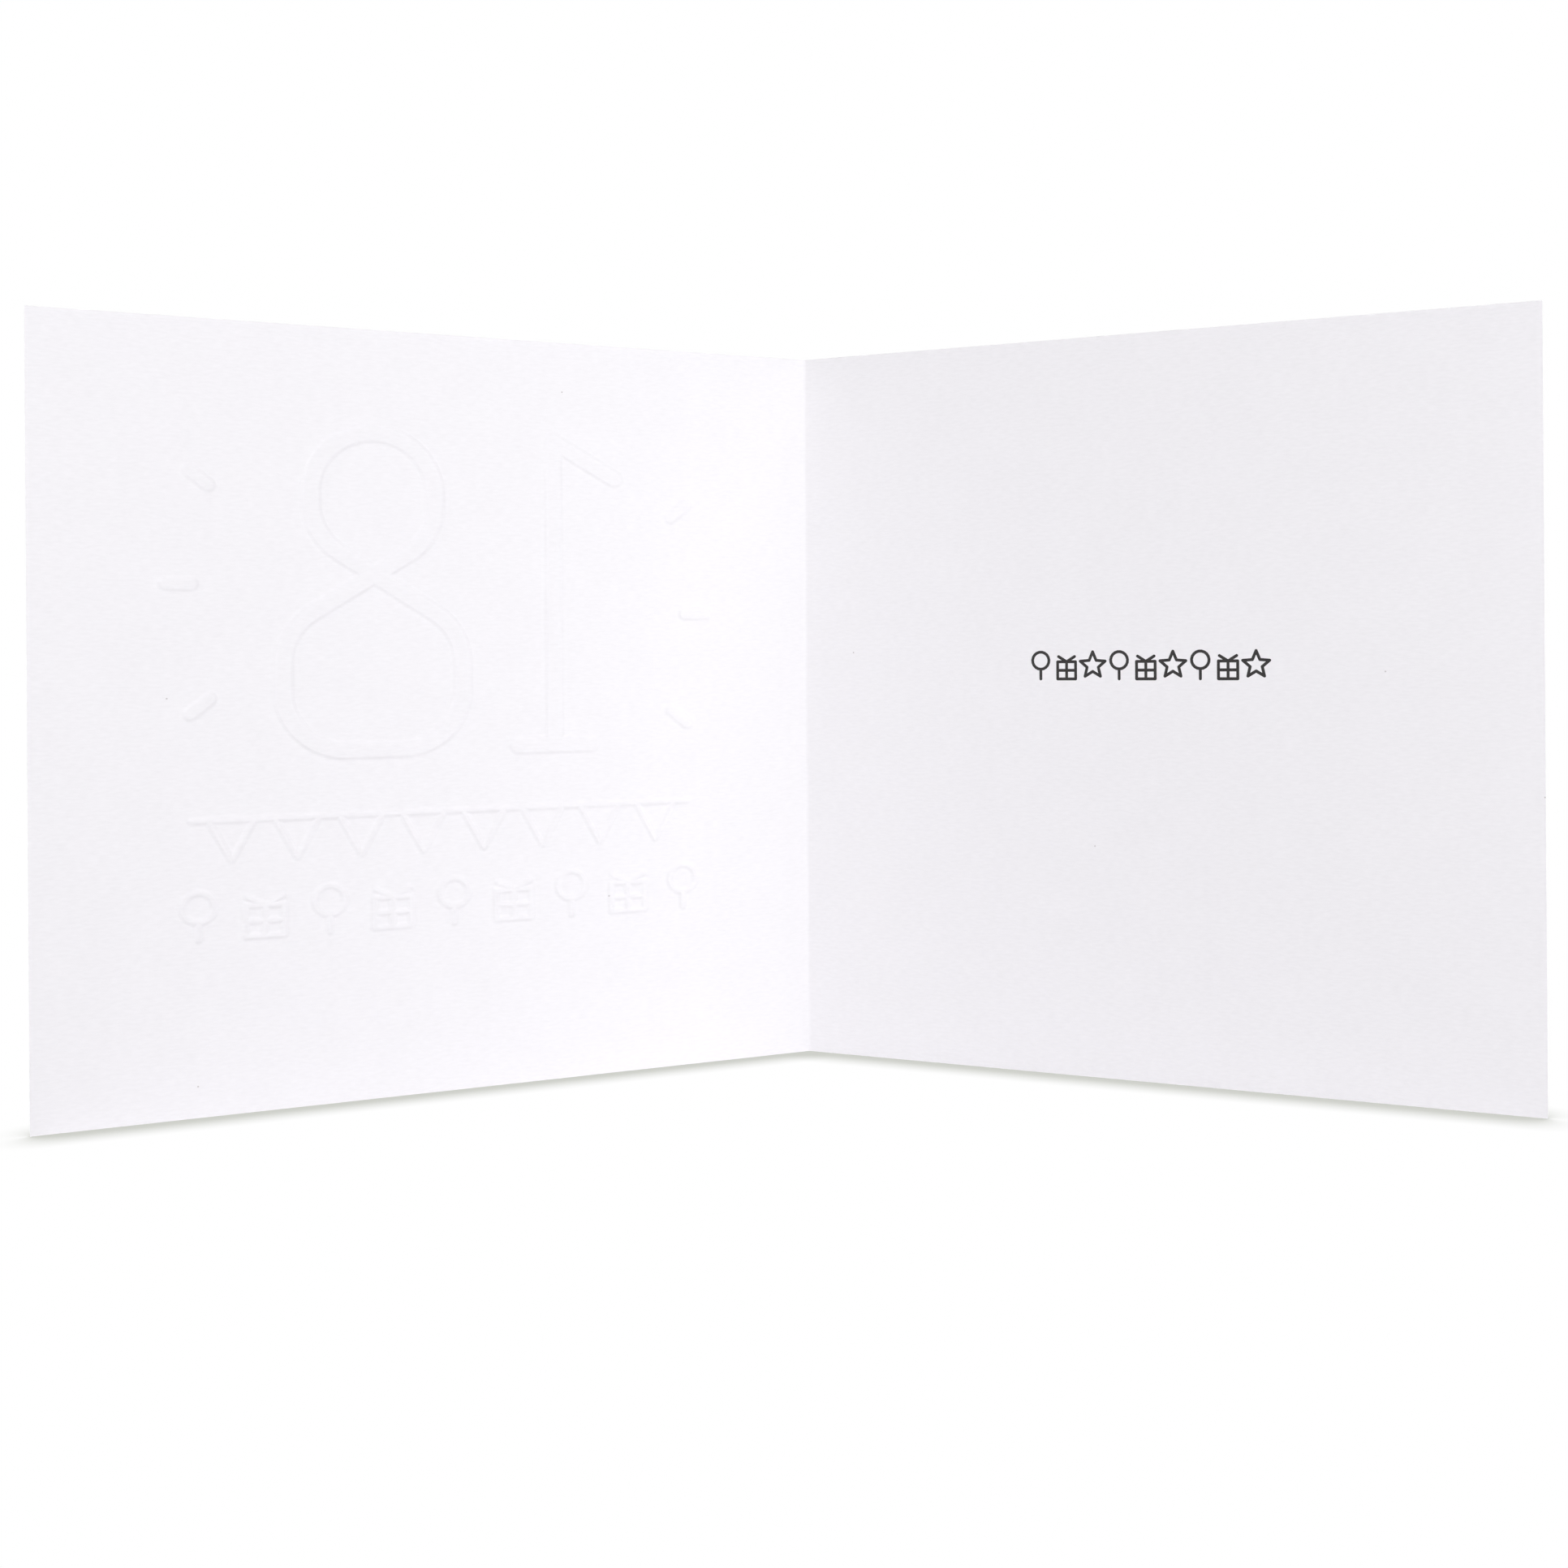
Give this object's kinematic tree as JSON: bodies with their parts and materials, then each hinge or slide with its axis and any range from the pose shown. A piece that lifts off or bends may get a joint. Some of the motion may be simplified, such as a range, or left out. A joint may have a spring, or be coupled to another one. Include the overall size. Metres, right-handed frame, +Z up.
{
  "type": "greeting card",
  "caption": "Open square greeting card of white board, standing on its lower edges, with numerals, dashes and two rows of party shapes pressed into its front cover.",
  "frame": {"origin": "bottom centre of the standing card's box, midway between the free edges and midway from the fold's crest to the free edges", "axes": "+Z up along the fold, +Y towards the fold, so that the card opens towards -Y, and +X towards the back cover's free edge, with the pressed front cover at -X"},
  "size_m": [0.276, 0.0592, 0.15],
  "materials": {
    "board": "uncoated, smooth matt"
  },
  "bodies": {
    "root": {"card": "board"}
  },
  "joints": []
}
